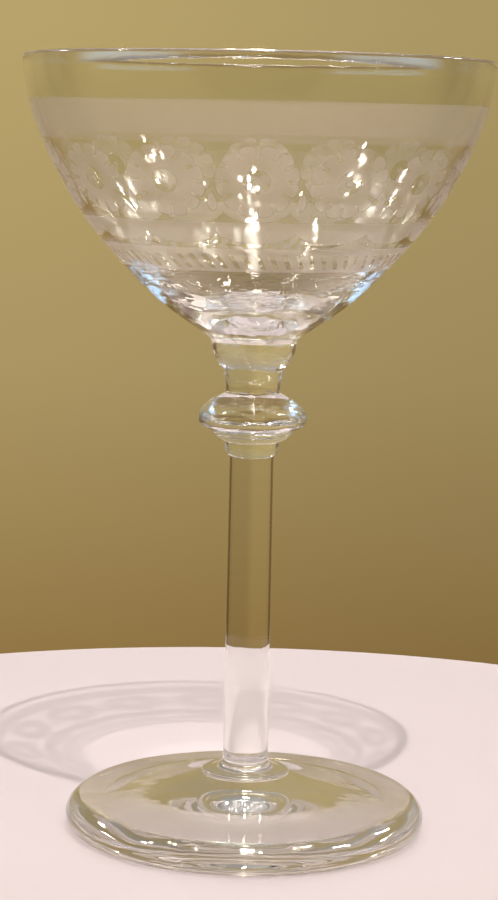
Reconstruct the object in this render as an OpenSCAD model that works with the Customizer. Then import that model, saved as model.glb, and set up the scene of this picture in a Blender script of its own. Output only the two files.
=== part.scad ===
// Tall stemmed sherbet glass, built from separate gathers of clear glass.
// Millimetres, +Z up along the turning axis, the foot standing on the XY plane.
// Every piece is turned from its own half outline and meets the next one on a flat weld face.

/* [Bowl] */
// Outside diameter at the rim
rim_d = 91; // [86:0.5:96]
// Height of the bowl from its weld to the rim
bowl_h = 54.7; // [52:0.1:60]
// Outside diameter at the waist, where the rounded side turns into a cone
waist_d = 60.4; // [58:0.2:63]
// Height of the waist above the weld
waist_h = 19.7; // [18.5:0.1:21.5]
// Wall thickness at the rim
rim_t = 1.3; // [1:0.1:2]
// Wall thickness at the waist
waist_t = 2; // [1.6:0.1:2.6]
// Solid glass under the well of the bowl
base_t = 5; // [4:0.1:7]

/* [Button and neck] */
// Diameter of the weld between bowl and button
button_d = 16.6; // [15:0.2:18]
// Diameter at the bottom of the button, which stands a little proud of the neck
button_foot_d = 13.2; // [13:0.1:14]
// Height of the button
button_h = 4.8; // [4:0.1:6]
// Diameter at the top of the neck
neck_top_d = 12.2; // [11.2:0.2:13]
// Diameter at the bottom of the neck
neck_foot_d = 10.7; // [10:0.1:11.1]
// Height of the neck
neck_h = 5.3; // [4:0.1:7]

/* [Knop] */
// Largest diameter of the knop
knop_d = 21.3; // [19:0.1:24]
// Height of the knop
knop_h = 7.2; // [6:0.1:9]
// Diameter of the disc under the knop
merese_d = 16; // [14:0.2:17]
// Height of that disc
merese_h = 2.5; // [2:0.1:3.2]

/* [Stem] */
// Diameter of the collar at the top of the stem
collar_d = 10.8; // [10:0.1:11.6]
// Height of that collar
collar_h = 2.8; // [2:0.1:4]
// Diameter at the top of the stem
stem_top_d = 8.7; // [8:0.1:9.2]
// Diameter at the bottom of the stem
stem_foot_d = 9; // [8.4:0.1:9.6]
// Length of the stem
stem_l = 60.6; // [45:0.1:75]

/* [Foot] */
// Diameter of the foot
foot_d = 71.6; // [64:0.2:78]
// Height of the foot at its centre
foot_h = 11; // [10:0.1:12.5]
// Height of the shoulder above the rounded edge
shoulder_h = 6.2; // [5.2:0.1:7]
// Width of the flat ring that the glass stands on
rest_w = 5; // [3:0.5:7]
// Depth of the hollow under the foot
hollow_h = 2.5; // [1.5:0.25:3.5]
// Diameter of the boss at its lower edge
boss_d = 17.6; // [16:0.2:20]
// Height of the boss
boss_h = 3.1; // [2.6:0.1:4.5]

/* [Hidden] */
$fn = 96;

// Straight steps along each curve of an outline
steps = 16;

// Heights of the weld faces above the table
boss_z = foot_h;
stem_z = boss_z + boss_h;
collar_z = stem_z + stem_l;
merese_z = collar_z + collar_h;
knop_z = merese_z + merese_h;
neck_z = knop_z + knop_h;
button_z = neck_z + neck_h;
bowl_z = button_z + button_h;

// Colour of the clear glass
clear_glass = [0.86, 0.88, 0.84, 0.5];

// Point at t on the cubic curve with end points a and d and handles b and c
function bezier(a, b, c, d, t) =
    pow(1 - t, 3) * a + 3 * pow(1 - t, 2) * t * b + 3 * (1 - t) * t * t * c + pow(t, 3) * d;

// Points along that curve, without its first point
function curve(a, b, c, d) = [for (i = [1 : steps]) bezier(a, b, c, d, i / steps)];

// Turns a half outline, given as [radius, height] points, about the Z axis
module turned(outline, z) {
    color(clear_glass)
        translate([0, 0, z])
            rotate_extrude()
                polygon(outline);
}

module bowl() {
    rim = [rim_d / 2, bowl_h - rim_t / 2];
    waist = [waist_d / 2, waist_h];
    // Where the cone gives way to the underside of the base
    heel = [0.248 * waist_d, 0.254 * waist_h];
    weld = [button_d / 2, 0];
    well = [0, base_t];
    // Handles that set how full each stretch of the outline is
    rim_pull = [0, 0.31 * (bowl_h - waist_h)];
    side_pull = [7.3, 8.5];
    cone_pull = [6, 7];
    heel_pull = [4.2, 2.8];
    tuck_pull = [2.4, 1.6];
    weld_pull = [0.75, 0.06 * waist_h];
    well_pull = [14, 0];
    // The inside follows the outside at the wall thickness, down to a rounded well
    inner_rim = rim - [rim_t, 0];
    slope = side_pull.x / side_pull.y;
    inner_waist = waist + waist_t / norm([1, slope]) * [-1, slope];
    lip = [for (i = [1 : steps / 2])
        rim + rim_t / 2 * [cos(360 * i / steps) - 1, sin(360 * i / steps)]];
    outside = concat(
        curve(weld, weld + weld_pull, heel - tuck_pull, heel),
        curve(heel, heel + heel_pull, waist - cone_pull, waist),
        curve(waist, waist + side_pull, rim - rim_pull, rim)
    );
    inside = concat(
        curve(inner_rim, inner_rim - rim_pull, inner_waist + side_pull, inner_waist),
        curve(inner_waist, inner_waist - cone_pull, well + well_pull, well)
    );
    turned(concat([[0, 0], weld], outside, lip, inside), bowl_z);
}

module bowl_button() {
    foot = [button_foot_d / 2, 0];
    top = [button_d / 2, button_h];
    foot_pull = [0.8, 0.24 * button_h];
    top_pull = [0.2, -0.36 * button_h];
    side = curve(foot, foot + foot_pull, top + top_pull, top);
    turned(concat([[0, 0], foot], side, [[0, button_h]]), button_z);
}

module neck() {
    foot = [neck_foot_d / 2, 0];
    top = [neck_top_d / 2, neck_h];
    foot_pull = [0, 0.4 * neck_h];
    top_pull = [-0.35, -0.3 * neck_h];
    side = curve(foot, foot + foot_pull, top + top_pull, top);
    turned(concat([[0, 0], foot], side, [[0, neck_h]]), neck_z);
}

module knop() {
    foot = [merese_d / 2, 0];
    belt = [knop_d / 2, 0.3 * knop_h];
    top = [neck_foot_d / 2, knop_h];
    foot_pull = [1.5, 0.04 * knop_h];
    top_pull = [1.9, -0.1 * knop_h];
    lower = curve(foot, foot + foot_pull, belt - [0, 0.17 * knop_h], belt);
    upper = curve(belt, belt + [0, 0.38 * knop_h], top + top_pull, top);
    turned(concat([[0, 0], foot], lower, upper, [[0, knop_h]]), knop_z);
}

module knop_merese() {
    foot = [collar_d / 2, 0];
    top = [merese_d / 2, merese_h];
    foot_pull = [1.4, 0.17 * merese_h];
    top_pull = [0.1, -0.48 * merese_h];
    side = curve(foot, foot + foot_pull, top + top_pull, top);
    turned(concat([[0, 0], foot], side, [[0, merese_h]]), merese_z);
}

module stem_collar() {
    foot = [stem_top_d / 2, 0];
    top = [collar_d / 2, collar_h];
    foot_pull = [0.8, 0.2 * collar_h];
    top_pull = [0, -0.4 * collar_h];
    side = curve(foot, foot + foot_pull, top + top_pull, top);
    turned(concat([[0, 0], foot], side, [[0, collar_h]]), collar_z);
}

module stem() {
    color(clear_glass)
        translate([0, 0, stem_z])
            cylinder(h = stem_l, d1 = stem_foot_d, d2 = stem_top_d);
}

module foot_boss() {
    edge = [boss_d / 2, 0];
    // Rounded lower edge, then a hollow flare that runs up into the stem
    brow = [boss_d / 2 - 1.2, 0.26 * boss_h];
    top = [stem_foot_d / 2, boss_h];
    edge_pull = [0, 0.18 * boss_h];
    brow_pull = [0.6, 0];
    flare_pull = [1.8, 0];
    top_pull = [0, -0.42 * boss_h];
    lower = curve(edge, edge + edge_pull, brow + brow_pull, brow);
    flare = curve(brow, brow - flare_pull, top + top_pull, top);
    turned(concat([[0, 0], edge], lower, flare, [[0, boss_h]]), boss_z);
}

module foot() {
    // Radius lost where the edge rounds under to the resting ring, and over to the shoulder
    under = 2.2;
    over = 2.8;
    rest_out = [foot_d / 2 - under, 0];
    rest_in = rest_out - [rest_w, 0];
    belt = [foot_d / 2, 0.45 * shoulder_h];
    shoulder = [foot_d / 2 - over, shoulder_h];
    top = [boss_d / 2, foot_h];
    crown = [0, hollow_h];
    // The hollow is part of a large ball
    crown_pull = [rest_in.x / 3, 0];
    rest_pull = [-rest_in.x / 3, 2 / 3 * hollow_h];
    under_pull = [0.5 * under, 0];
    over_pull = [0.4 * over, -0.3];
    // The top lies nearly flat outside and sweeps up close to the boss
    shoulder_pull = [-13.5, 1.15];
    top_pull = [3.8, -1.7];
    hollow = curve(crown, crown + crown_pull, rest_in + rest_pull, rest_in);
    edge = concat(
        curve(rest_out, rest_out + under_pull, belt - [0, 0.24 * shoulder_h], belt),
        curve(belt, belt + [0, 0.28 * shoulder_h], shoulder + over_pull, shoulder)
    );
    sweep = curve(shoulder, shoulder + shoulder_pull, top + top_pull, top);
    turned(concat([crown], hollow, [rest_out], edge, sweep, [[0, foot_h]]), 0);
}

bowl();
bowl_button();
neck();
knop();
knop_merese();
stem_collar();
stem();
foot_boss();
foot();
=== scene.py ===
"""Looks of a tall stemmed sherbet glass with an etched bowl.

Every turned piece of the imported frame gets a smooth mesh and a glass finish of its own. A pale
floor, soft light and the camera complete the scene. Lengths in the classes are millimetres.
"""

import logging
import math
from dataclasses import dataclass, field, replace
from enum import Enum
from functools import reduce
from typing import Any

import bmesh
import bpy
from mathutils import Matrix, Vector
from mathutils.geometry import interpolate_bezier


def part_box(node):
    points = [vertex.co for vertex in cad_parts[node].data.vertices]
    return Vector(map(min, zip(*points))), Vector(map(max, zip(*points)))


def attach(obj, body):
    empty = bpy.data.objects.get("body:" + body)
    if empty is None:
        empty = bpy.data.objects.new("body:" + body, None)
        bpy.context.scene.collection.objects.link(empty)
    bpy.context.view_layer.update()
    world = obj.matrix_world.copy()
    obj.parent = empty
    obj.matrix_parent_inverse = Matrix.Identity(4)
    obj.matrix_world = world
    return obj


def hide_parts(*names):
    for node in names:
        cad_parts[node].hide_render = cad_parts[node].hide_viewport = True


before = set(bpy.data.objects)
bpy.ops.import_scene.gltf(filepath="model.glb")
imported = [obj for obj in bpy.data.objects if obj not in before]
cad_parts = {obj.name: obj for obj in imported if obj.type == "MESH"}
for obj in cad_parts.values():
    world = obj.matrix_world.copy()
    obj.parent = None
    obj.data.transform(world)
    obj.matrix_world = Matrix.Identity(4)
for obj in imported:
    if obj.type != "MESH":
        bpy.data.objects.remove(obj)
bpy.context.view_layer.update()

LOG = logging.getLogger("sherbet_glass")

MM = 0.001
# Steps of one sector of a turned piece, doublings that make it a full turn, and points on a curve
SECTOR_STEPS = 32
SECTOR_DOUBLINGS = 3
CURVE_POINTS = 22
# Points closer than this are one point, in metres
MERGE_GAP = 2e-7
# Edges that turn more sharply than this stay crisp
CREASE = math.radians(24)
# The photograph's frame in pixels
PHOTO_WIDTH = 498
PHOTO_HEIGHT = 900

Colour = tuple[float, float, float]
Place = tuple[float, float, float]
Range = tuple[float, float]
Socket = bpy.types.NodeSocket

WHITE: Colour = (1.0, 1.0, 1.0)
BLACK: Colour = (0.0, 0.0, 0.0)
WARM_LIGHT: Colour = (1.0, 0.94, 0.87)


class Zone(Enum):
    """Stretches of a piece's surface that take a finish of their own."""

    ETCHED = "etched"
    CLEAR = "clear"
    LIP = "lip"
    TOOLED = "tooled"
    WORKED = "worked"
    CAST = "cast"
    # The foot's rounded edge: its glass is tinted darker than the foot's, which is painted shade
    SHADED_EDGE = "edge"
    WELD = "weld"


class Slot(Enum):
    """Material slots of the record; each piece carries one, but nothing here assigns it."""

    CLEAR = "clear_glass"
    ETCHED = "etched_glass"


class NodeSheet:
    """A node tree with short calls that add nodes and join them."""

    def __init__(self, tree: bpy.types.NodeTree) -> None:
        """Starts on an emptied tree.

        Args:
            tree: The node tree to fill.
        """
        self.tree = tree
        tree.nodes.clear()

    def feed(self, socket: Socket, value: Any) -> None:
        """Links a socket into an input, or sets the input to a plain value.

        Args:
            socket: The input socket.
            value: An output socket, a number or a tuple.
        """
        if isinstance(value, bpy.types.NodeSocket):
            self.tree.links.new(value, socket)
        else:
            socket.default_value = value

    def add(self, kind: str, inputs: dict[Any, Any] | None = None, **settings: Any) -> bpy.types.Node:
        """Adds a node.

        Args:
            kind: The node's type name without its ShaderNode prefix, or NodeGroup names in full.
            inputs: Values or sockets for the inputs, by name or index.
            **settings: Properties of the node.

        Returns:
            The new node.
        """
        full_name = kind if kind.startswith("NodeGroup") else "ShaderNode" + kind
        node = self.tree.nodes.new(full_name)
        for name, value in settings.items():
            setattr(node, name, value)
        for key, value in (inputs or {}).items():
            self.feed(node.inputs[key], value)
        return node

    def math(self, operation: str, *values: Any) -> Socket:
        """Adds a Math node, whose operands are sockets or numbers, and returns its result."""
        return self.add("Math", dict(enumerate(values)), operation=operation).outputs[0]

    def vector(self, operation: str, first: Any, second: Any) -> Socket:
        """Adds a Vector Math node, which also joins colours."""
        return self.add("VectorMath", {0: first, 1: second}, operation=operation).outputs[0]

    def axes(self, place: Socket) -> tuple[Socket, Socket, Socket]:
        """Splits a place or a direction into X, Y and Z."""
        split = self.add("SeparateXYZ", {"Vector": place})
        return split.outputs["X"], split.outputs["Y"], split.outputs["Z"]

    def noise(self, place: Socket, scale: Any, layers: float, **more: float) -> Socket:
        """Adds a noise with its features per metre and its finer layers, and returns its value."""
        inputs = {"Vector": place, "Scale": scale, "Detail": layers, **more}
        return self.add("TexNoise", inputs).outputs["Fac"]

    def relief(self, height: Socket, strength: float, depth: float) -> Socket:
        """Adds a bump with its depth in millimetres, and returns the normal."""
        inputs = {"Height": height, "Strength": strength, "Distance": depth * MM}
        return self.add("Bump", inputs).outputs["Normal"]

    def spread(self, value: Any, low: float, high: float, to_low: float, to_high: float) -> Socket:
        """Maps the range from low to high to another one along a smooth step, and holds its ends."""
        inputs = {"Value": value, "From Min": low, "From Max": high, "To Min": to_low, "To Max": to_high}
        return self.add("MapRange", inputs, interpolation_type="SMOOTHSTEP").outputs["Result"]

    def above(self, value: Any, edge: float, soft: float) -> Socket:
        """Mask that is 1 where a value lies above an edge. Soft is half of the transition's width."""
        return self.spread(value, edge - soft, edge + soft, 0.0, 1.0)

    def below(self, value: Any, edge: float, soft: float) -> Socket:
        """Mask that is 1 where a value lies below an edge. Soft is half of the transition's width."""
        return self.spread(value, edge - soft, edge + soft, 1.0, 0.0)

    def between(self, value: Any, low: float, high: float, soft: float) -> Socket:
        """Mask that is 1 where a value lies between two edges, which are both this soft."""
        return self.all_of(self.above(value, low, soft), self.below(value, high, soft))

    def tint(self, share: Any, first: Colour, second: Colour) -> Socket:
        """Mixes two colours.

        Args:
            share: Share of the second colour.
            first: The first colour.
            second: The second colour.

        Returns:
            The mixed colour.
        """
        node = self.add("Mix", {0: share}, data_type="RGBA")
        colour_inputs = [socket for socket in node.inputs if socket.type == "RGBA"]
        for socket, colour in zip(colour_inputs, (first, second)):
            socket.default_value = (*colour, 1.0)
        return next(socket for socket in node.outputs if socket.type == "RGBA")

    def length(self, across: Socket, up: Socket) -> Socket:
        """Distance of a point from the middle of a flat pattern."""
        squares = self.math("MULTIPLY_ADD", across, across, self.math("MULTIPLY", up, up))
        return self.math("SQRT", squares)

    def any_of(self, *masks: Any) -> Socket:
        """Joins masks, so that the result is 1 where any of them is."""
        return reduce(lambda joined, mask: self.math("MAXIMUM", joined, mask), masks)

    def all_of(self, *masks: Any) -> Socket:
        """Multiplies masks and shares, so that the result is 1 only where all of them are."""
        return reduce(lambda joined, mask: self.math("MULTIPLY", joined, mask), masks)

    def without(self, mask: Socket, cut: Socket) -> Socket:
        """Takes one mask out of another."""
        return self.all_of(mask, self.math("SUBTRACT", 1.0, cut))


def new_material(name: str) -> tuple[bpy.types.Material, NodeSheet]:
    """Makes an empty node material.

    Args:
        name: The material's name.

    Returns:
        The material and its node sheet.
    """
    material = bpy.data.materials.new(name)
    material.use_nodes = True
    return material, NodeSheet(material.node_tree)


class BlownSkin:
    """Node group for the surface of hand-worked glass: slow waves, fine cords and faint smears."""

    NAME = "blown_skin"
    # Each noise: features per metre, finer layers, and how far it is warped or how rough it is
    WAVE_SCALE = 48.0
    WAVE_LAYERS = 1.0
    CORD_LAYERS = 2.0
    CORD_DISTORTION = 0.4
    SMEAR_SCALE = 85.0
    SMEAR_LAYERS = 4.0
    SMEAR_ROUGHNESS = 0.62
    # Noise values between which a smear fades in
    SMEAR_RANGE: Range = (0.52, 0.74)
    # The cords run round the axis, so heights are stretched before the noise is read
    CORD_STRETCH = 3.2

    def tree(self) -> bpy.types.NodeTree:
        """Builds the group, or returns it if it is already there.

        Returns:
            The node group, with a Height, a Smear and a Streak output.
        """
        done = bpy.data.node_groups.get(self.NAME)
        if done is not None:
            return done
        group = bpy.data.node_groups.new(self.NAME, "ShaderNodeTree")
        for name in ("Cord depth", "Cord scale"):
            group.interface.new_socket(name, in_out="INPUT", socket_type="NodeSocketFloat")
        for name in ("Height", "Smear", "Streak"):
            group.interface.new_socket(name, in_out="OUTPUT", socket_type="NodeSocketFloat")
        sheet = NodeSheet(group)
        source = sheet.add("NodeGroupInput")
        place = sheet.add("TexCoord").outputs["Object"]
        squeezed = sheet.add("Mapping", {"Vector": place, "Scale": (1.0, 1.0, self.CORD_STRETCH)})
        waves = sheet.noise(place, self.WAVE_SCALE, self.WAVE_LAYERS)
        cords = sheet.noise(
            squeezed.outputs["Vector"], source.outputs["Cord scale"], self.CORD_LAYERS,
            Distortion=self.CORD_DISTORTION,
        )
        smears = sheet.noise(
            place, self.SMEAR_SCALE, self.SMEAR_LAYERS, Roughness=self.SMEAR_ROUGHNESS
        )
        fine = sheet.math("MULTIPLY", cords, source.outputs["Cord depth"])
        result = sheet.add("NodeGroupOutput")
        sheet.feed(result.inputs["Height"], sheet.math("ADD", waves, fine))
        sheet.feed(result.inputs["Smear"], sheet.spread(smears, *self.SMEAR_RANGE, 0.0, 1.0))
        sheet.feed(result.inputs["Streak"], cords)
        return group


@dataclass(frozen=True)
class ClearGlass:
    """Polished clear glass with the slight waves and smears of a used glass."""

    name: str = "polished_glass"
    pale: Colour = (0.985, 0.99, 0.975)
    deep: Colour = (0.95, 0.965, 0.935)
    ior: float = 1.52
    smear_roughness: float = 0.02
    # Roughness of the clean surface
    polish: float = 0.0
    cord_depth: float = 0.10
    cord_scale: float = 190.0
    wave_strength: float = 0.08
    wave_height: float = 0.6
    # Light let through to what lies behind, face on and at a grazing look, and how far the look
    # has turned from face on (0) to grazing (1) where the first gives way to the second
    face_light: float = 0.94
    edge_light: float = 0.18
    edge_range: Range = (0.66, 0.96)
    # What an etched ground adds to the roughness, and the light that it lets through
    ground_roughness: float = 0.0
    ground_light: float = 1.0

    def etch(self, sheet: NodeSheet) -> Socket | None:
        """Mask of the etched ground, which plain glass doesn't have."""
        return None

    def frost(self, sheet: NodeSheet, glass: Socket, etch: Socket) -> Socket:
        """Plain glass has no ground to lay over it."""
        return glass

    def glass(self, sheet: NodeSheet, etch: Socket | None) -> Socket:
        """Adds the glass body.

        Args:
            sheet: The material's node sheet.
            etch: The etched ground, or None.

        Returns:
            The shader.
        """
        skin = sheet.add("Group", node_tree=BlownSkin().tree())
        sheet.feed(skin.inputs["Cord depth"], self.cord_depth)
        sheet.feed(skin.inputs["Cord scale"], self.cord_scale)
        body = sheet.tint(skin.outputs["Streak"], self.pale, self.deep)
        normal = sheet.relief(skin.outputs["Height"], self.wave_strength, self.wave_height)
        glass = sheet.add("BsdfPrincipled", {"Base Color": body, "Normal": normal})
        roughness = sheet.math("MULTIPLY_ADD", skin.outputs["Smear"], self.smear_roughness, self.polish)
        if etch is not None:
            roughness = sheet.math("MULTIPLY_ADD", etch, self.ground_roughness, roughness)
        sheet.feed(glass.inputs["Roughness"], roughness)
        glass.inputs["IOR"].default_value = self.ior
        glass.inputs["Transmission Weight"].default_value = 1.0
        return glass.outputs["BSDF"]

    def light_through(self, sheet: NodeSheet, etch: Socket | None) -> Socket:
        """Adds what lamps see of the glass: clear face on, darker along its edges.

        Args:
            sheet: The material's node sheet.
            etch: The etched ground, or None.

        Returns:
            The shader.
        """
        facing = sheet.add("LayerWeight", {"Blend": 0.5}).outputs["Facing"]
        light = sheet.spread(facing, *self.edge_range, self.face_light, self.edge_light)
        if etch is not None:
            veil = sheet.spread(etch, 0.0, 1.0, 1.0, self.ground_light)
            light = sheet.all_of(light, veil)
        return sheet.add("BsdfTransparent", {"Color": light}).outputs["BSDF"]

    def material(self) -> bpy.types.Material:
        """Builds the finish.

        Returns:
            The material.
        """
        material, sheet = new_material(self.name)
        etch = self.etch(sheet)
        surface = self.glass(sheet, etch)
        if etch is not None:
            surface = self.frost(sheet, surface, etch)
        path = sheet.add("LightPath")
        passes = sheet.math("MAXIMUM", path.outputs["Is Shadow Ray"], path.outputs["Is Diffuse Ray"])
        both = sheet.add("MixShader", {0: passes, 1: surface, 2: self.light_through(sheet, etch)})
        sheet.add("OutputMaterial", {"Surface": both.outputs["Shader"]})
        return material


@dataclass(frozen=True)
class EtchedGlass(ClearGlass):
    """Clear glass with bands of etched ornament: satin ground, medallions, festoons and dashes."""

    name: str = "etched_band_glass"
    ground_roughness: float = 0.05
    ground_light: float = 0.50
    ground_cover: float = 0.28
    # Colour of the scattered light, and the share of it that goes on through the wall
    scatter: Colour = (0.92, 0.83, 0.765)
    pass_share: float = 0.55
    # Strength of the ground in the medallions and in the lower bands, beside the satin band's
    medallion_ground: float = 1.25
    low_ground: float = 1.2
    # Softness of an etched edge
    edge: float = 0.12
    # Heights above the floor of each band's lower and upper edge
    satin: Range = (135.9, 143.3)
    medallions: Range = (122.4, 135.5)
    festoons: Range = (117.6, 121.7)
    hem: Range = (112.2, 116.8)
    # Repeats around the bowl, and the radius at which their width is measured
    repeats: int = 14
    repeat_radius: float = 38.0
    # Radius of a rosette's clear eye, and the share of it that its etched middle takes
    eye_radius: float = 2.0
    eye_middle: float = 0.35
    petals: int = 12
    # Width of the soft cut between two petals, what ground is left in it, where it starts, the
    # softness of every edge in the row, and how deep the rosette's outline is scalloped
    petal_edge: float = 0.5
    petal_low: float = 0.40
    petal_root: float = 0.70
    petal_soft: float = 0.22
    scallop: float = 0.4
    # Height of a rosette as a share of its width
    medallion_squeeze: float = 0.84
    # The beads hang below the middle of the row and are taller than wide
    bead_radius: float = 0.9
    bead_drop: float = 3.6
    bead_squeeze: float = 0.5
    # How far the lower edge of the festoons rises between two arcs
    festoon_rise: float = 2.3
    # Slanting dashes of the hem: how many, between which heights, their slant, and half of a dash's
    # width and its softness as shares of the space that it has
    dashes: int = 72
    dash_band: Range = (113.0, 115.4)
    dash_slant: float = 0.22
    dash_half: float = 0.15
    dash_soft: float = 0.05
    # Fine grain and slow clouds thin the ground out: each noise, the values between which it works,
    # and the shares of the ground that are left there
    grain_scale: float = 2600.0
    grain_layers: float = 1.0
    grain_range: Range = (0.25, 0.7)
    grain_density: Range = (0.93, 0.97)
    cloud_scale: float = 130.0
    cloud_layers: float = 2.0
    cloud_range: Range = (0.3, 0.7)
    cloud_density: Range = (0.90, 0.96)

    def frost(self, sheet: NodeSheet, glass: Socket, etch: Socket) -> Socket:
        """Lays the light-scattering ground over the glass.

        Args:
            sheet: The material's node sheet.
            glass: The shader of the glass body.
            etch: The etched ground.

        Returns:
            The combined shader.
        """
        scatter = (*self.scatter, 1.0)
        front = sheet.add("BsdfDiffuse", {"Color": scatter})
        back = sheet.add("BsdfTranslucent", {"Color": scatter})
        ground = sheet.add(
            "MixShader", {0: self.pass_share, 1: front.outputs["BSDF"], 2: back.outputs["BSDF"]}
        )
        cover = sheet.math("MULTIPLY", etch, self.ground_cover)
        return sheet.add("MixShader", {0: cover, 1: glass, 2: ground.outputs["Shader"]}).outputs["Shader"]

    def medallion_row(self, sheet: NodeSheet, along: Socket, height: Socket) -> Socket:
        """Row of rosettes, each with a clear eye and soft petals, and a bead between each two.

        Args:
            sheet: The material's node sheet.
            along: Place along one repeat, from -0.5 to 0.5.
            height: Height above the floor, in millimetres.

        Returns:
            The mask.
        """
        low, high = self.medallions
        pitch = 2 * math.pi * self.repeat_radius / self.repeats
        outer = (high - low) / 2
        across = sheet.math("MULTIPLY", along, pitch * self.medallion_squeeze)
        up = sheet.math("SUBTRACT", height, (low + high) / 2)
        distance = sheet.length(across, up)
        bearing = sheet.math("ARCTAN2", up, across)
        swing = sheet.math("SINE", sheet.math("MULTIPLY", bearing, self.petals / 2))
        wave = sheet.math("ABSOLUTE", swing)
        reach = sheet.math("MULTIPLY_ADD", wave, self.scallop, outer - self.scallop)
        disc = sheet.below(sheet.math("SUBTRACT", distance, reach), 0.0, self.petal_soft)
        middle = self.eye_radius * self.eye_middle
        eye = sheet.between(distance, middle, self.eye_radius, self.petal_soft)
        cuts = sheet.spread(wave, 0.0, self.petal_edge, self.petal_low, 1.0)
        petal = sheet.any_of(cuts, sheet.below(distance, outer * self.petal_root, self.petal_soft))
        rosette = sheet.all_of(sheet.without(disc, eye), petal)
        aside = sheet.math("MULTIPLY", sheet.math("SUBTRACT", 0.5, sheet.math("ABSOLUTE", along)), pitch)
        drop = sheet.math("MULTIPLY", sheet.math("ADD", up, self.bead_drop), self.bead_squeeze)
        bead = sheet.below(sheet.length(aside, drop), self.bead_radius, self.petal_soft)
        return sheet.any_of(rosette, bead)

    def festoon_band(self, sheet: NodeSheet, along: Socket, height: Socket) -> Socket:
        """Band whose lower edge hangs in arcs.

        Args:
            sheet: The material's node sheet.
            along: Place along one repeat, from -0.5 to 0.5.
            height: Height above the floor, in millimetres.

        Returns:
            The mask.
        """
        low, high = self.festoons
        bow = sheet.math("MULTIPLY", along, 2.0)
        arc = sheet.math("SQRT", sheet.math("SUBTRACT", 1.0, sheet.math("MULTIPLY", bow, bow)))
        lower = sheet.math("MULTIPLY_ADD", arc, -self.festoon_rise, low + self.festoon_rise)
        over = sheet.above(sheet.math("SUBTRACT", height, lower), 0.0, self.edge)
        return sheet.all_of(over, sheet.below(height, high, self.edge))

    def hem_band(self, sheet: NodeSheet, turns: Socket, height: Socket) -> Socket:
        """Lowest band, with slanting dashes left clear in it.

        Args:
            sheet: The material's node sheet.
            turns: Place round the axis, in turns.
            height: Height above the floor, in millimetres.

        Returns:
            The mask.
        """
        upright = sheet.math("MULTIPLY", turns, float(self.dashes))
        slanted = sheet.math("MULTIPLY_ADD", height, self.dash_slant, upright)
        aside = sheet.math("ABSOLUTE", sheet.math("SUBTRACT", sheet.math("FRACT", slanted), 0.5))
        stroke = sheet.below(aside, self.dash_half, self.dash_soft)
        dashes = sheet.all_of(stroke, sheet.between(height, *self.dash_band, self.edge))
        return sheet.without(sheet.between(height, *self.hem, self.edge), dashes)

    def density(self, sheet: NodeSheet, place: Socket) -> Socket:
        """Grain and clouds of the etched ground.

        Args:
            sheet: The material's node sheet.
            place: Place on the bowl.

        Returns:
            The share of the ground that is left.
        """
        grain = sheet.noise(place, self.grain_scale, self.grain_layers)
        cloud = sheet.noise(place, self.cloud_scale, self.cloud_layers)
        return sheet.all_of(
            sheet.spread(grain, *self.grain_range, *self.grain_density),
            sheet.spread(cloud, *self.cloud_range, *self.cloud_density),
        )

    def etch(self, sheet: NodeSheet) -> Socket:
        """Builds the mask of the etched ground from the angle round the axis and the height.

        Args:
            sheet: The material's node sheet.

        Returns:
            The mask.
        """
        place = sheet.add("TexCoord").outputs["Object"]
        x, y, z = sheet.axes(place)
        height = sheet.math("MULTIPLY", z, 1 / MM)
        turns = sheet.math("MULTIPLY", sheet.math("ARCTAN2", y, x), 0.5 / math.pi)
        repeats = sheet.math("MULTIPLY", turns, float(self.repeats))
        along = sheet.math("SUBTRACT", sheet.math("FRACT", repeats), 0.5)
        satin = sheet.between(height, *self.satin, self.edge)
        medallions = sheet.all_of(self.medallion_row(sheet, along, height), self.medallion_ground)
        low_bands = sheet.any_of(
            self.festoon_band(sheet, along, height), self.hem_band(sheet, turns, height)
        )
        ornament = sheet.any_of(satin, medallions, sheet.all_of(low_bands, self.low_ground))
        return sheet.all_of(ornament, self.density(sheet, place))


@dataclass(frozen=True)
class FusedWeld:
    """Weld face inside the glass, where two gathers have run together and light goes straight on."""

    name: str = "fused_weld"

    def material(self) -> bpy.types.Material:
        """Builds the finish.

        Returns:
            The material.
        """
        material, sheet = new_material(self.name)
        clear = sheet.add("BsdfTransparent", {"Color": (*WHITE, 1.0)})
        sheet.add("OutputMaterial", {"Surface": clear.outputs["BSDF"]})
        return material


@dataclass(frozen=True)
class PaleBoard:
    """Pale matt board with a faint grain, for the floor."""

    name: str = "pale_board"
    light: Colour = (0.71, 0.632, 0.668)
    shade: Colour = (0.68, 0.602, 0.638)
    roughness: float = 0.78
    # Noise scales, in features per metre, and how many finer layers each noise has
    cloud_scale: float = 16.0
    fibre_scale: float = 900.0
    layers: float = 3.0
    # Strength and height of the fibres' relief
    fibre_strength: float = 0.05
    fibre_height: float = 0.2

    def material(self) -> bpy.types.Material:
        """Builds the finish.

        Returns:
            The material.
        """
        material, sheet = new_material(self.name)
        place = sheet.add("TexCoord").outputs["Object"]
        clouds = sheet.noise(place, self.cloud_scale, self.layers)
        fibres = sheet.noise(place, self.fibre_scale, self.layers)
        tone = sheet.tint(clouds, self.light, self.shade)
        normal = sheet.relief(fibres, self.fibre_strength, self.fibre_height)
        board = sheet.add(
            "BsdfPrincipled", {"Base Color": tone, "Roughness": self.roughness, "Normal": normal}
        )
        sheet.add("OutputMaterial", {"Surface": board.outputs["BSDF"]})
        return material


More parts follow.
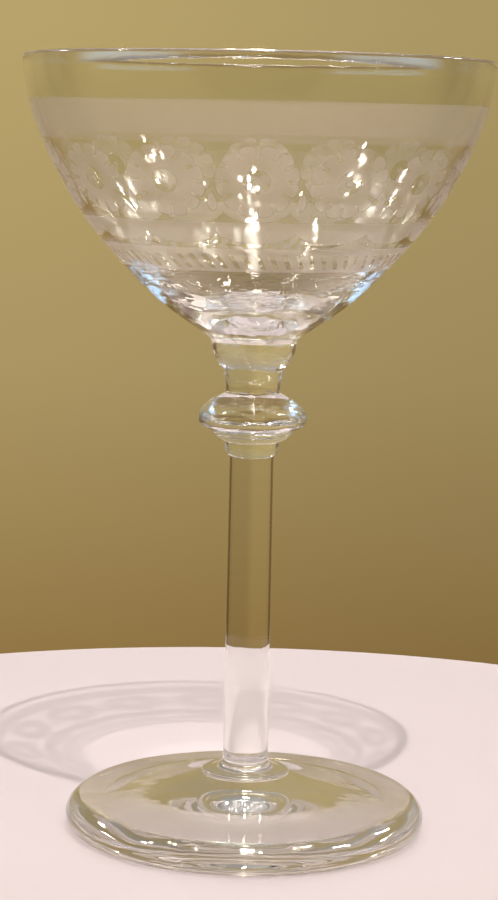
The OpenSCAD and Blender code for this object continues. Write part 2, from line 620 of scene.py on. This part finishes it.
class GlassShop:
    """Holds the finishes of the glass, one for each zone."""

    def __init__(self) -> None:
        """Builds the glass materials."""
        cast = ClearGlass(
            "cast_glass", pale=(0.98, 0.965, 0.91), deep=(0.94, 0.92, 0.85), cord_depth=0.5,
            cord_scale=120.0, wave_strength=0.13, face_light=0.73, edge_light=0.04,
        )
        finishes: dict[Zone, ClearGlass | FusedWeld] = {
            Zone.ETCHED: EtchedGlass(),
            Zone.CLEAR: ClearGlass(),
            Zone.LIP: ClearGlass("fire_polished_glass", polish=0.02, face_light=0.04, edge_light=0.02),
            # The base gathers light: more comes through it than falls on it
            Zone.TOOLED: ClearGlass(
                "tooled_glass", cord_depth=2.0, cord_scale=105.0, wave_strength=0.32, face_light=1.2
            ),
            Zone.WORKED: ClearGlass("worked_glass", cord_depth=1.4, cord_scale=150.0, wave_strength=0.34),
            Zone.CAST: cast,
            # The foot's rounded edge takes a darker, duller tint than the cast foot: painted shade
            # standing in for the dark room that the edge reflects
            Zone.SHADED_EDGE: replace(
                cast, name="foot_edge_shaded_glass", pale=(0.84, 0.81, 0.73), deep=(0.70, 0.67, 0.59),
                wave_strength=0.10,
            ),
            Zone.WELD: FusedWeld(),
        }
        self.finishes = {zone: finish.material() for zone, finish in finishes.items()}


def at(radius: float, height: float) -> Vector:
    """Point of a half outline in the XZ plane, from millimetres to metres."""
    return Vector((radius * MM, 0.0, height * MM))


def bend(start: Vector, start_pull: Vector, end_pull: Vector, end: Vector) -> list[Vector]:
    """Points along one cubic curve, with both ends. A pull is a handle, relative to its own end."""
    return interpolate_bezier(start, start + start_pull, end + end_pull, end, CURVE_POINTS)


def flank(foot_d: float, top_d: float, height: float, foot_pull: Vector, top_pull: Vector) -> list[Vector]:
    """Side of a piece in one curve, from its foot to its top."""
    return bend(at(foot_d / 2, 0.0), foot_pull, top_pull, at(top_d / 2, height))


@dataclass
class Stretch:
    """One stretch of a half outline and the zone that it belongs to."""

    points: list[Vector]
    zone: Zone = Zone.CLEAR


@dataclass
class TurnedPiece:
    """A piece of glass turned about the upright axis and closed at its welds."""

    node: str
    slot: Slot
    stretches: list[Stretch]

    def spin(self, bm: bmesh.types.BMesh, stretch: Stretch, index: int) -> None:
        """Turns one stretch of the outline into one sector of faces.

        Args:
            bm: The mesh that is being built.
            stretch: The stretch.
            index: Material index of its faces.
        """
        before = set(bm.faces)
        dots = [bm.verts.new(point) for point in stretch.points]
        lines = [bm.edges.new(pair) for pair in zip(dots, dots[1:])]
        bmesh.ops.spin(bm, geom=dots + lines, cent=(0, 0, 0), axis=(0, 0, 1),
                       angle=2 * math.pi / 2**SECTOR_DOUBLINGS, steps=SECTOR_STEPS)
        for face in bm.faces:
            if face not in before:
                face.material_index = index
                face.smooth = True

    @staticmethod
    def complete_turn(bm: bmesh.types.BMesh) -> None:
        """Doubles a sector until it goes right round, and merges the seams and poles.

        Args:
            bm: The mesh, which holds one sector.
        """
        for doubling in range(SECTOR_DOUBLINGS):
            angle = 2 * math.pi / 2 ** (SECTOR_DOUBLINGS - doubling)
            copied = bmesh.ops.duplicate(bm, geom=[*bm.verts, *bm.edges, *bm.faces])["geom"]
            dots = [item for item in copied if isinstance(item, bmesh.types.BMVert)]
            bmesh.ops.rotate(bm, verts=dots, cent=(0, 0, 0), matrix=Matrix.Rotation(angle, 3, "Z"))
        bmesh.ops.remove_doubles(bm, verts=bm.verts, dist=MERGE_GAP)

    def build(self, shop: GlassShop) -> bpy.types.Object:
        """Builds the mesh, dresses it and puts it in the frame.

        Args:
            shop: The finishes.

        Returns:
            The finished object.
        """
        zones = list(dict.fromkeys(stretch.zone for stretch in self.stretches))
        low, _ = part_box(self.node)
        bm = bmesh.new()
        for stretch in self.stretches:
            self.spin(bm, stretch, zones.index(stretch.zone))
        self.complete_turn(bm)
        bmesh.ops.translate(bm, verts=bm.verts, vec=(0.0, 0.0, low.z))
        bmesh.ops.recalc_face_normals(bm, faces=bm.faces)
        for edge in bm.edges:
            edge.smooth = edge.calc_face_angle(0.0) < CREASE
        mesh = bpy.data.meshes.new(self.node + "_glass")
        bm.to_mesh(mesh)
        bm.free()
        for zone in zones:
            mesh.materials.append(shop.finishes[zone])
        piece = bpy.data.objects.new(self.node + "_glass", mesh)
        bpy.context.collection.objects.link(piece)
        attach(piece, "root")
        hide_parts(self.node)
        LOG.info("%s: %d faces", piece.name, len(mesh.polygons))
        return piece


@dataclass
class Bowl:
    """Blown bowl: thin wall, rounded lip and a heavy base over the weld."""

    rim_d: float = 91.0
    height: float = 54.7
    waist_d: float = 60.4
    waist_h: float = 19.7
    rim_t: float = 1.3
    waist_t: float = 2.0
    base_t: float = 5.0
    weld_d: float = 16.6
    # Where the cone gives way to the underside of the base, as shares of the waist's diameter and
    # height, and the pull of the rim as a share of the height above the waist
    heel_shares: Range = (0.248, 0.254)
    rim_share: float = 0.31
    # How full the rounded side, the cone and the well are
    side_pull: Vector = field(default_factory=lambda: at(7.3, 8.5))
    cone_pull: Vector = field(default_factory=lambda: at(6.0, 7.0))
    well_pull: Vector = field(default_factory=lambda: at(14.0, 0.0))

    def lip(self, rim: Vector) -> list[Vector]:
        """Half round of the fire-polished lip.

        Args:
            rim: Top of the outside wall.

        Returns:
            Points from the outside wall over to the inside wall.
        """
        radius = self.rim_t / 2
        angles = [math.pi * i / CURVE_POINTS for i in range(CURVE_POINTS + 1)]
        return [rim + at(radius * (math.cos(a) - 1), radius * math.sin(a)) for a in angles]

    def stretches(self) -> list[Stretch]:
        """Half outline from the middle of the weld, round the rim, to the middle of the well.

        Returns:
            The stretches in order.
        """
        rim = at(self.rim_d / 2, self.height - self.rim_t / 2)
        waist = at(self.waist_d / 2, self.waist_h)
        heel = at(self.heel_shares[0] * self.waist_d, self.heel_shares[1] * self.waist_h)
        weld = at(self.weld_d / 2, 0.0)
        well = at(0.0, self.base_t)
        rim_pull = at(0.0, self.rim_share * (self.height - self.waist_h))
        heel_pull = at(4.2, 2.8)
        tuck_pull = at(2.4, 1.6)
        weld_pull = at(0.75, 0.06 * self.waist_h)
        slope = self.side_pull.x / self.side_pull.z
        inner_rim = rim - at(self.rim_t, 0.0)
        inner_waist = waist + at(-1.0, slope) * (self.waist_t / math.hypot(1.0, slope))
        base = bend(weld, weld_pull, -tuck_pull, heel)
        cone = bend(heel, heel_pull, -self.cone_pull, waist)
        side = bend(waist, self.side_pull, -rim_pull, rim)
        inner_side = bend(inner_rim, -rim_pull, self.side_pull, inner_waist)
        inner_well = bend(inner_waist, -self.cone_pull, self.well_pull, well)
        return [
            Stretch([at(0.0, 0.0), weld], Zone.WELD),
            Stretch(base, Zone.TOOLED),
            Stretch(cone, Zone.ETCHED),
            Stretch(side, Zone.ETCHED),
            Stretch(self.lip(rim), Zone.LIP),
            Stretch(inner_side, Zone.CLEAR),
            Stretch(inner_well, Zone.TOOLED),
        ]

    def build(self, shop: GlassShop) -> bpy.types.Object:
        """Builds the bowl with the shop's finishes."""
        return TurnedPiece("bowl", Slot.ETCHED, self.stretches()).build(shop)


def welded(side: list[Vector], weld_below: float = 0.0, zone: Zone = Zone.WORKED) -> list[Stretch]:
    """Closes a side outline with weld faces at its foot and its top.

    Args:
        side: Outline from the foot to the top.
        weld_below: Radius of the weld under the piece where it is smaller than the piece's own
            foot, in millimetres. 0 takes the whole foot.
        zone: Zone of the side.

    Returns:
        The closed half outline.
    """
    foot, top = side[0], side[-1]
    floor_z, top_z = foot.z / MM, top.z / MM
    stretches = [Stretch([at(0.0, floor_z), foot], Zone.WELD)]
    if weld_below:
        seat = at(weld_below, floor_z)
        stretches = [Stretch([at(0.0, floor_z), seat], Zone.WELD), Stretch([seat, foot], zone)]
    return [*stretches, Stretch(side, zone), Stretch([top, at(0.0, top_z)], Zone.WELD)]


@dataclass
class StemColumn:
    """The worked pieces between bowl and foot: button, neck, knop, disc, collar and stem."""

    button_top_d: float = 16.6
    button_foot_d: float = 13.2
    button_h: float = 4.8
    neck_top_d: float = 12.2
    neck_foot_d: float = 10.7
    neck_h: float = 5.3
    knop_d: float = 21.3
    knop_h: float = 7.2
    merese_d: float = 16.0
    merese_h: float = 2.5
    collar_d: float = 10.8
    collar_h: float = 2.8
    stem_top_d: float = 8.7
    stem_foot_d: float = 9.0
    stem_l: float = 60.6

    def button(self) -> list[Stretch]:
        """Convex button that the bowl stands on."""
        foot_pull = at(0.8, 0.24 * self.button_h)
        top_pull = at(0.2, -0.36 * self.button_h)
        side = flank(self.button_foot_d, self.button_top_d, self.button_h, foot_pull, top_pull)
        return welded(side, weld_below=self.neck_top_d / 2)

    def neck(self) -> list[Stretch]:
        """Short spool between button and knop."""
        foot_pull = at(0.0, 0.4 * self.neck_h)
        top_pull = at(-0.35, -0.3 * self.neck_h)
        return welded(flank(self.neck_foot_d, self.neck_top_d, self.neck_h, foot_pull, top_pull))

    def knop(self) -> list[Stretch]:
        """Flattened ball, widest below its middle."""
        foot = at(self.merese_d / 2, 0.0)
        belt = at(self.knop_d / 2, 0.3 * self.knop_h)
        top = at(self.neck_foot_d / 2, self.knop_h)
        foot_pull = at(1.5, 0.04 * self.knop_h)
        top_pull = at(1.9, -0.1 * self.knop_h)
        lower = bend(foot, foot_pull, at(0.0, -0.17 * self.knop_h), belt)
        upper = bend(belt, at(0.0, 0.38 * self.knop_h), top_pull, top)
        return welded([*lower, *upper[1:]])

    def merese(self) -> list[Stretch]:
        """Stepped disc under the knop."""
        foot_pull = at(1.4, 0.17 * self.merese_h)
        top_pull = at(0.1, -0.48 * self.merese_h)
        return welded(flank(self.collar_d, self.merese_d, self.merese_h, foot_pull, top_pull))

    def collar(self) -> list[Stretch]:
        """Small collar that seats the stem."""
        foot_pull = at(0.8, 0.2 * self.collar_h)
        top_pull = at(0.0, -0.4 * self.collar_h)
        return welded(flank(self.stem_top_d, self.collar_d, self.collar_h, foot_pull, top_pull))

    def stem(self) -> list[Stretch]:
        """Solid rod, drawn slightly wider downwards."""
        foot = at(self.stem_foot_d / 2, 0.0)
        top = at(self.stem_top_d / 2, self.stem_l)
        third = (top - foot) / 3
        return welded(bend(foot, third, -third, top), zone=Zone.CLEAR)

    def build(self, shop: GlassShop) -> list[bpy.types.Object]:
        """Builds the pieces from the bowl down.

        Args:
            shop: The finishes.

        Returns:
            The pieces' objects.
        """
        outlines = {
            "bowl_button": self.button(),
            "neck": self.neck(),
            "knop": self.knop(),
            "knop_merese": self.merese(),
            "stem_collar": self.collar(),
            "stem": self.stem(),
        }
        return [TurnedPiece(node, Slot.CLEAR, outline).build(shop) for node, outline in outlines.items()]


@dataclass
class FootDisc:
    """Thick round foot that sweeps up to its boss, with a rounded edge and a shallow hollow below."""

    foot_d: float = 71.6
    foot_h: float = 11.0
    shoulder_h: float = 6.2
    rest_w: float = 5.0
    hollow_h: float = 2.5
    # Radius lost where the edge rounds under to the resting ring, and over to the shoulder
    under: float = 2.2
    over: float = 2.8
    boss_d: float = 17.6
    boss_h: float = 3.1
    stem_d: float = 9.0

    def boss(self) -> list[Stretch]:
        """Flared boss that seats the stem."""
        edge = at(self.boss_d / 2, 0.0)
        brow = at(self.boss_d / 2 - 1.2, 0.26 * self.boss_h)
        top = at(self.stem_d / 2, self.boss_h)
        brow_pull = at(0.6, 0.0)
        flare_pull = at(-1.8, 0.0)
        lower = bend(edge, at(0.0, 0.18 * self.boss_h), brow_pull, brow)
        flare = bend(brow, flare_pull, at(0.0, -0.42 * self.boss_h), top)
        return welded([*lower, *flare[1:]], zone=Zone.CLEAR)

    def foot(self) -> list[Stretch]:
        """Half outline of the foot, from the hollow under it over the edge to the boss.

        Returns:
            The stretches in order.
        """
        rest_out = at(self.foot_d / 2 - self.under, 0.0)
        rest_in = rest_out - at(self.rest_w, 0.0)
        belt = at(self.foot_d / 2, 0.45 * self.shoulder_h)
        shoulder = at(self.foot_d / 2 - self.over, self.shoulder_h)
        top = at(self.boss_d / 2, self.foot_h)
        crown = at(0.0, self.hollow_h)
        third = rest_in.x / MM / 3
        under_pull = at(0.5 * self.under, 0.0)
        over_pull = at(0.4 * self.over, -0.3)
        shoulder_pull = at(-13.5, 1.15)
        top_pull = at(3.8, -1.7)
        hollow = bend(crown, at(third, 0.0), at(-third, self.hollow_h * 2 / 3), rest_in)
        round_under = bend(rest_out, under_pull, at(0.0, -0.24 * self.shoulder_h), belt)
        round_over = bend(belt, at(0.0, 0.28 * self.shoulder_h), over_pull, shoulder)
        sweep = bend(shoulder, shoulder_pull, top_pull, top)
        return [
            Stretch(hollow, Zone.CAST),
            Stretch([rest_in, rest_out], Zone.CAST),
            # The rounded edge takes the darker glass, which is painted shade
            Stretch(round_under, Zone.SHADED_EDGE),
            Stretch(round_over, Zone.SHADED_EDGE),
            Stretch(sweep, Zone.CAST),
            Stretch([top, at(0.0, self.foot_h)], Zone.WELD),
        ]

    def build(self, shop: GlassShop) -> list[bpy.types.Object]:
        """Builds the boss and the foot.

        Args:
            shop: The finishes.

        Returns:
            The pieces' objects.
        """
        return [
            TurnedPiece("foot_boss", Slot.CLEAR, self.boss()).build(shop),
            TurnedPiece("foot", Slot.CLEAR, self.foot()).build(shop),
        ]


@dataclass
class Floor:
    """Round pale board that the glass stands on."""

    radius: float = 165.0
    thickness: float = 18.0
    round_edge: float = 3.0
    edge_steps: int = 5
    # Hair of air under the resting ring
    gap: float = 0.03
    sides: int = 160

    def build(self) -> bpy.types.Object:
        """Builds the board.

        Returns:
            The board's object.
        """
        bm = bmesh.new()
        bmesh.ops.create_cone(
            bm, cap_ends=True, cap_tris=False, segments=self.sides, radius1=self.radius * MM,
            radius2=self.radius * MM, depth=self.thickness * MM,
            matrix=Matrix.Translation((0.0, 0.0, -(self.thickness / 2 + self.gap) * MM)),
        )
        rim = [edge for edge in bm.edges if edge.calc_face_angle(0.0) > CREASE]
        bmesh.ops.bevel(bm, geom=rim, offset=self.round_edge * MM, offset_type="OFFSET",
                        segments=self.edge_steps, profile=0.5, affect="EDGES", material=-1)
        for face in bm.faces:
            face.smooth = len(face.verts) == 4
        mesh = bpy.data.meshes.new("floor")
        bm.to_mesh(mesh)
        bm.free()
        mesh.materials.append(PaleBoard().material())
        floor = bpy.data.objects.new("floor", mesh)
        bpy.context.collection.objects.link(floor)
        return floor


@dataclass
class Backdrop:
    """Plain khaki surround, darker towards the floor and neutral overhead."""

    # Height of a look on the unit sphere, from -1 straight down to 1 straight up, and its colour
    tones: tuple[tuple[float, Colour], ...] = (
        (-1.0, (0.24, 0.17, 0.07)),
        (-0.22, (0.275, 0.175, 0.058)),
        (-0.10, (0.39, 0.288, 0.12)),
        (0.05, (0.46, 0.35, 0.145)),
        (0.34, (0.42, 0.33, 0.16)),
        (0.62, (0.36, 0.34, 0.33)),
        (1.0, (0.42, 0.41, 0.43)),
    )
    # The surround darkens from left to right over this stretch, between these two shares
    fall: Range = (-0.13, 0.13)
    fall_shares: Range = (1.05, 0.87)
    # Narrow dark flags at both sides draw the edges of the glass: their tints, between which places
    # they stand, how far back they start, and the heights between which they fade out
    right_flag: Colour = (0.22, 0.11, 0.09)
    left_flag: Colour = (0.26, 0.19, 0.17)
    flag_sides: Range = (0.80, 0.975)
    flag_back: float = 0.18
    flag_top: Range = (0.10, 0.36)
    flag_soft: float = 0.05
    # A dim stretch in front of the glass, above eye level: its tint, how far forward it starts, the
    # heights between which it lies, and the softness of its edges
    dim: Colour = (0.22, 0.19, 0.21)
    dim_front: float = -0.80
    dim_heights: Range = (0.08, 0.46)
    dim_soft: float = 0.07
    # A soft cool window at either side: its light, how far out it starts, the heights over which it
    # fades in and out again, how far back it reaches, and the softness of its edges
    window: Colour = (1.2, 2.4, 4.2)
    window_side: float = 0.62
    window_rise: Range = (-0.09, -0.01)
    window_fall: Range = (0.04, 0.12)
    window_back: float = 0.05
    window_soft: float = 0.14

    def tone(self, sheet: NodeSheet, side: Socket, up: Socket) -> Socket:
        """Colour of the bare surround.

        Args:
            sheet: The world's node sheet.
            side: How far to the right a look goes, on the unit sphere.
            up: How far up it goes.

        Returns:
            The colour.
        """
        ramp = sheet.add("ValToRGB", {"Fac": sheet.math("MULTIPLY_ADD", up, 0.5, 0.5)})
        stops = ramp.color_ramp.elements
        while len(stops) < len(self.tones):
            stops.new(0.5)
        for stop, (level, colour) in zip(stops, self.tones):
            stop.position = level / 2 + 0.5
            stop.color = (*colour, 1.0)
        share = sheet.spread(side, *self.fall, *self.fall_shares)
        return sheet.vector("MULTIPLY", ramp.outputs["Color"], share)

    def build(self) -> None:
        """Builds the world."""
        world = bpy.data.worlds.new("backdrop")
        bpy.context.scene.world = world
        world.use_nodes = True
        sheet = NodeSheet(world.node_tree)
        side, away, up = sheet.axes(sheet.add("TexCoord").outputs["Generated"])
        tone = self.tone(sheet, side, up)
        low = sheet.spread(up, *self.flag_top, 1.0, 0.0)
        behind = sheet.all_of(low, sheet.above(away, self.flag_back, self.flag_soft))
        for sign, colour in ((1.0, self.right_flag), (-1.0, self.left_flag)):
            bar = sheet.between(sheet.math("MULTIPLY", side, sign), *self.flag_sides, self.flag_soft)
            tone = sheet.vector("MULTIPLY", tone, sheet.tint(sheet.all_of(bar, behind), WHITE, colour))
        # The camera doesn't see the dim stretch and the windows, only the glass and the floor do
        indirect = sheet.math("SUBTRACT", 1.0, sheet.add("LightPath").outputs["Is Camera Ray"])
        near = sheet.below(away, self.dim_front, self.dim_soft)
        dusk = sheet.all_of(near, sheet.between(up, *self.dim_heights, self.dim_soft), indirect)
        tone = sheet.vector("MULTIPLY", tone, sheet.tint(dusk, WHITE, self.dim))
        pane = sheet.all_of(
            sheet.above(sheet.math("ABSOLUTE", side), self.window_side, self.window_soft),
            sheet.spread(up, *self.window_rise, 0.0, 1.0),
            sheet.spread(up, *self.window_fall, 1.0, 0.0),
            sheet.below(away, self.window_back, self.window_soft),
            indirect,
        )
        tone = sheet.vector("ADD", tone, sheet.tint(pane, BLACK, self.window))
        light = sheet.add("Background", {"Color": tone})
        sheet.add("OutputWorld", {"Surface": light.outputs["Background"]})


@dataclass(frozen=True)
class Cluster:
    """A loose swarm of small lamps that only polished surfaces show."""

    # Where it hangs as seen from the glass, how many lamps it has, how far they are strewn in
    # metres, and the power of each in watts and its radius in metres
    direction: Place
    count: int
    spread: float = 0.20
    power: float = 26.0
    radius: float = 0.038


@dataclass(frozen=True)
class Panel:
    """A soft panel, with its place, width and height in metres and its power in watts."""

    place: Place
    size: Range
    power: float
    colour: Colour


@dataclass
class LightRig:
    """A key lamp for the shadow, soft panels, and overhead clusters of small lamps for sparkle."""

    # Distances in metres, powers in watts
    reach: float = 2.2
    # Height of the middle of the glass, which every light is turned to
    aim: float = 0.08
    key: Place = (0.065, -0.406, 0.911)
    key_power: float = 100.0
    key_radius: float = 0.012
    back: Panel = Panel((0.0, 1.3, 1.5), (1.0, 0.8), 7.0, (1.0, 0.96, 0.98))
    front: Panel = Panel((0.1, -1.5, 0.45), (1.6, 0.8), 13.0, (1.0, 0.72, 0.52))
    # Turn from one lamp of a cluster to the next, so that no two line up
    swarm_turn: float = math.radians(137.5)
    clusters: tuple[Cluster, ...] = (
        Cluster((0.065, -0.406, 0.911), 5),
        Cluster((0.03, -0.20, 0.98), 6, 0.12),
        Cluster((-0.674, -0.078, 0.734), 4),
        Cluster((0.674, -0.078, 0.734), 4),
        Cluster((-0.62, 0.51, 0.59), 3),
        Cluster((0.62, 0.51, 0.59), 3),
        Cluster((0.0, 0.77, 0.64), 3),
        Cluster((0.36, 0.02, 0.93), 3, 0.22),
        Cluster((-0.42, -0.02, 0.91), 2, 0.22),
        Cluster((-0.33, -0.25, 0.91), 1, radius=0.024),
        Cluster((0.39, -0.25, 0.885), 1, radius=0.024),
    )

    def place(self, name: str, data: bpy.types.Light, place: Vector) -> bpy.types.Object:
        """Puts a light in the scene, turned to the middle of the glass.

        Args:
            name: The light's name.
            data: The light.
            place: Where it hangs.

        Returns:
            The light's object.
        """
        lamp = bpy.data.objects.new(name, data)
        bpy.context.collection.objects.link(lamp)
        lamp.location = place
        lamp.visible_camera = False
        beam = Vector((0.0, 0.0, self.aim)) - place
        lamp.rotation_euler = beam.to_track_quat("-Z", "Y").to_euler()
        return lamp

    def panel(self, name: str, panel: Panel) -> bpy.types.Object:
        """Adds a soft panel that shines at the glass.

        Args:
            name: The panel's name.
            panel: Its place, size, power and colour.

        Returns:
            The panel's object.
        """
        data = bpy.data.lights.new(name, "AREA")
        data.shape = "ELLIPSE"
        data.size, data.size_y = panel.size
        data.energy = panel.power
        data.color = panel.colour
        return self.place(name, data, Vector(panel.place))

    def bulb(self, name: str, place: Vector, power: float, radius: float) -> bpy.types.Object:
        """Adds one small warm lamp.

        Args:
            name: The lamp's name.
            place: Where it hangs.
            power: Its power.
            radius: Its radius.

        Returns:
            The lamp's object.
        """
        data = bpy.data.lights.new(name, "POINT")
        data.energy = power
        data.shadow_soft_size = radius
        data.color = WARM_LIGHT
        return self.place(name, data, place)

    def hang(self, name: str, cluster: Cluster) -> None:
        """Adds the lamps of a cluster.

        Args:
            name: The cluster's name.
            cluster: Its place and lamps.
        """
        centre = Vector(cluster.direction).normalized() * self.reach
        across = centre.cross(Vector((0, 1, 0))).normalized()
        over = centre.cross(across).normalized()
        for i in range(cluster.count):
            angle = self.swarm_turn * (i + 1)
            away = cluster.spread * math.sqrt(i / cluster.count)
            shift = (across * math.cos(angle) + over * math.sin(angle)) * away
            glint = self.bulb(f"{name}_{i}", centre + shift, cluster.power, cluster.radius)
            glint.visible_diffuse = False

    def build(self) -> None:
        """Adds every light."""
        hook = Vector(self.key).normalized() * self.reach
        key = self.bulb("key", hook, self.key_power, self.key_radius)
        for lamp in (key, self.panel("back", self.back), self.panel("front", self.front)):
            lamp.visible_glossy = False
            lamp.visible_transmission = False
        for i, cluster in enumerate(self.clusters):
            self.hang(f"cluster_{i}", cluster)


@dataclass
class Camera:
    """Camera at the photograph's viewing angle."""

    # Place in metres, angles in degrees, and the focal length in pixels of the photograph
    place: Place = (0.0, -0.4517, 0.13675)
    yaw: float = 0.069
    pitch_down: float = 7.68
    roll: float = -1.2
    focal_px: float = 2315.0
    # Width of the sensor in millimetres, and the nearest thing that is drawn, in metres
    sensor: float = 36.0
    near: float = 0.01

    def build(self) -> bpy.types.Object:
        """Adds the camera and makes it the scene's.

        Returns:
            The camera's object.
        """
        data = bpy.data.cameras.new("camera")
        data.sensor_width = self.sensor
        data.lens = self.focal_px / max(PHOTO_WIDTH, PHOTO_HEIGHT) * self.sensor
        data.clip_start = self.near
        camera = bpy.data.objects.new("camera", data)
        bpy.context.collection.objects.link(camera)
        level = Matrix.Rotation(math.radians(90), 4, "X")
        turn = (
            Matrix.Rotation(math.radians(self.yaw), 4, "Z")
            @ Matrix.Rotation(math.radians(-self.pitch_down), 4, "X")
            @ Matrix.Rotation(math.radians(self.roll), 4, "Y")
        )
        camera.matrix_world = Matrix.Translation(self.place) @ turn @ level
        bpy.context.scene.camera = camera
        return camera


def tune_light_paths() -> None:
    """Lets light cross all the walls of the glass, and keeps highlights inside it bright."""
    scene = bpy.context.scene
    scene.view_settings.view_transform = "Standard"
    paths = scene.cycles
    paths.max_bounces = 48
    paths.transmission_bounces = 48
    paths.glossy_bounces = 32
    paths.transparent_max_bounces = 128
    paths.sample_clamp_indirect = 40.0
    paths.caustics_reflective = False
    paths.caustics_refractive = False


def main() -> None:
    """Builds the camera, the glass, the floor and the light, in that order."""
    logging.basicConfig(level=logging.INFO, format="%(name)s: %(message)s")
    Camera().build()
    shop = GlassShop()
    pieces = [Bowl().build(shop), *StemColumn().build(shop), *FootDisc().build(shop)]
    LOG.info("%d pieces of glass", len(pieces))
    Floor().build()
    Backdrop().build()
    LightRig().build()
    tune_light_paths()


if __name__ == "__main__":
    main()
